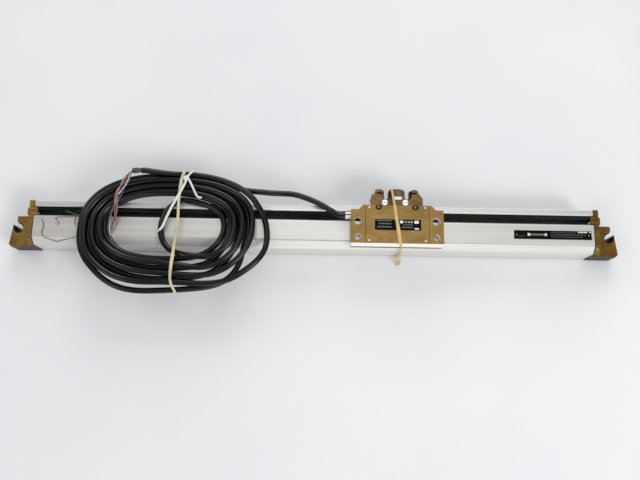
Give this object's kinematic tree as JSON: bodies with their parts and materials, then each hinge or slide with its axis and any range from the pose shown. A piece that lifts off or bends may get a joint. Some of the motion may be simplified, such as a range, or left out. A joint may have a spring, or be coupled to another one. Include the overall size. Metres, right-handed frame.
{
  "type": "linear glass scale",
  "caption": "Sealed linear glass scale: lipped aluminium housing with slotted end blocks, a sliding reading head on a foot, and its coiled lead with a stripped end.",
  "frame": {"origin": "middle of the housing's length and width, on the mounting plane that the end blocks stand on", "axes": "+X along the housing towards the printed plate's end, +Y across it towards the lip slot and the mounting foot, +Z out of the wide face"},
  "size_m": [0.7342, 0.1496, 0.059],
  "materials": {
    "housing": "satin anodised",
    "gold": "yellow chromate on cast metal",
    "gasket": "matt rubber",
    "steel": "turned",
    "bright": "bright zinc",
    "lip": "smooth elastic lip",
    "glass": "polished, with a fine grating",
    "plate": "black printed foil",
    "carriage": "machined",
    "holder": "moulded",
    "lamp": "clear lamp",
    "board": "circuit board",
    "flex": "flat flexible lead",
    "clip": "bright sheet",
    "ferrule": "turned and bright",
    "jacket": "black lead jacket, semi-gloss",
    "sleeve": "grey screen and tape",
    "wires": "bundle of coloured conductors",
    "tie": "white nylon",
    "band": "natural rubber"
  },
  "bodies": {
    "housing": {"housing": "housing", "end_block_left": "gold", "end_block_right": "gold", "end_gasket_left": "gasket", "end_gasket_right": "gasket", "end_screws": "steel", "fixing_screws": "steel", "lip_upper": "lip", "lip_lower": "lip", "lip_pins": "steel", "lip_clamp_left": "gold", "lip_clamp_right": "gold", "glass_scale": "glass", "scale_bedding": "gasket", "scale_plate": "plate"},
    "reading_head": {"carriage_frame": "carriage", "bearing_pins": "steel", "lamp_holder": "holder", "lamp": "lamp", "condenser_lens": "glass", "scanning_reticle": "glass", "photocell_board": "board", "signal_lead": "flex", "blade": "steel", "coupling_spring": "steel", "head_block": "gold", "head_cover": "gold", "cover_gasket": "gasket", "cover_screws": "steel", "terminal_board": "board", "head_plate": "plate", "mounting_foot": "gold", "foot_screws": "bright", "foot_lug": "gold", "lug_screw": "steel", "tongue_screws": "steel", "lead_clip": "clip", "lead_gland": "ferrule", "lead_run": "jacket", "lead_coil": "jacket", "lead_sleeve": "sleeve", "lead_conductors": "wires", "cable_tie": "tie", "coil_band": "band", "head_band": "band"},
    "guide_bearing_1": {"guide_bearing_1": "steel"},
    "guide_bearing_2": {"guide_bearing_2": "steel"},
    "guide_bearing_3": {"guide_bearing_3": "steel"},
    "edge_bearing_1": {"edge_bearing_1": "steel"},
    "edge_bearing_2": {"edge_bearing_2": "steel"}
  },
  "joints": [
    {"name": "head_slide", "type": "slide", "parent": "housing", "child": "reading_head", "axis": [1, 0, 0], "range_m": [-0.368, 0.171]},
    {"name": "guide_bearing_1_turn", "type": "hinge", "parent": "reading_head", "child": "guide_bearing_1", "pos_m": [0.0714, -0.0034, 0.0231], "axis": [0, 1, 0], "continuous": true},
    {"name": "guide_bearing_2_turn", "type": "hinge", "parent": "reading_head", "child": "guide_bearing_2", "pos_m": [0.1254, -0.0034, 0.0231], "axis": [0, 1, 0], "continuous": true},
    {"name": "guide_bearing_3_turn", "type": "hinge", "parent": "reading_head", "child": "guide_bearing_3", "pos_m": [0.0839, -0.0135, 0.0231], "axis": [0, 1, 0], "continuous": true},
    {"name": "edge_bearing_1_turn", "type": "hinge", "parent": "reading_head", "child": "edge_bearing_1", "pos_m": [0.0839, 0.0042, 0.016], "axis": [0, 0, 1], "continuous": true},
    {"name": "edge_bearing_2_turn", "type": "hinge", "parent": "reading_head", "child": "edge_bearing_2", "pos_m": [0.1164, 0.0042, 0.016], "axis": [0, 0, 1], "continuous": true}
  ],
  "couplings": [
    {"joint": "guide_bearing_1_turn", "follows": "head_slide", "rad_per_m": 200},
    {"joint": "guide_bearing_2_turn", "follows": "head_slide", "rad_per_m": 200},
    {"joint": "guide_bearing_3_turn", "follows": "head_slide", "rad_per_m": 200},
    {"joint": "edge_bearing_1_turn", "follows": "head_slide", "rad_per_m": -200},
    {"joint": "edge_bearing_2_turn", "follows": "head_slide", "rad_per_m": -200}
  ]
}
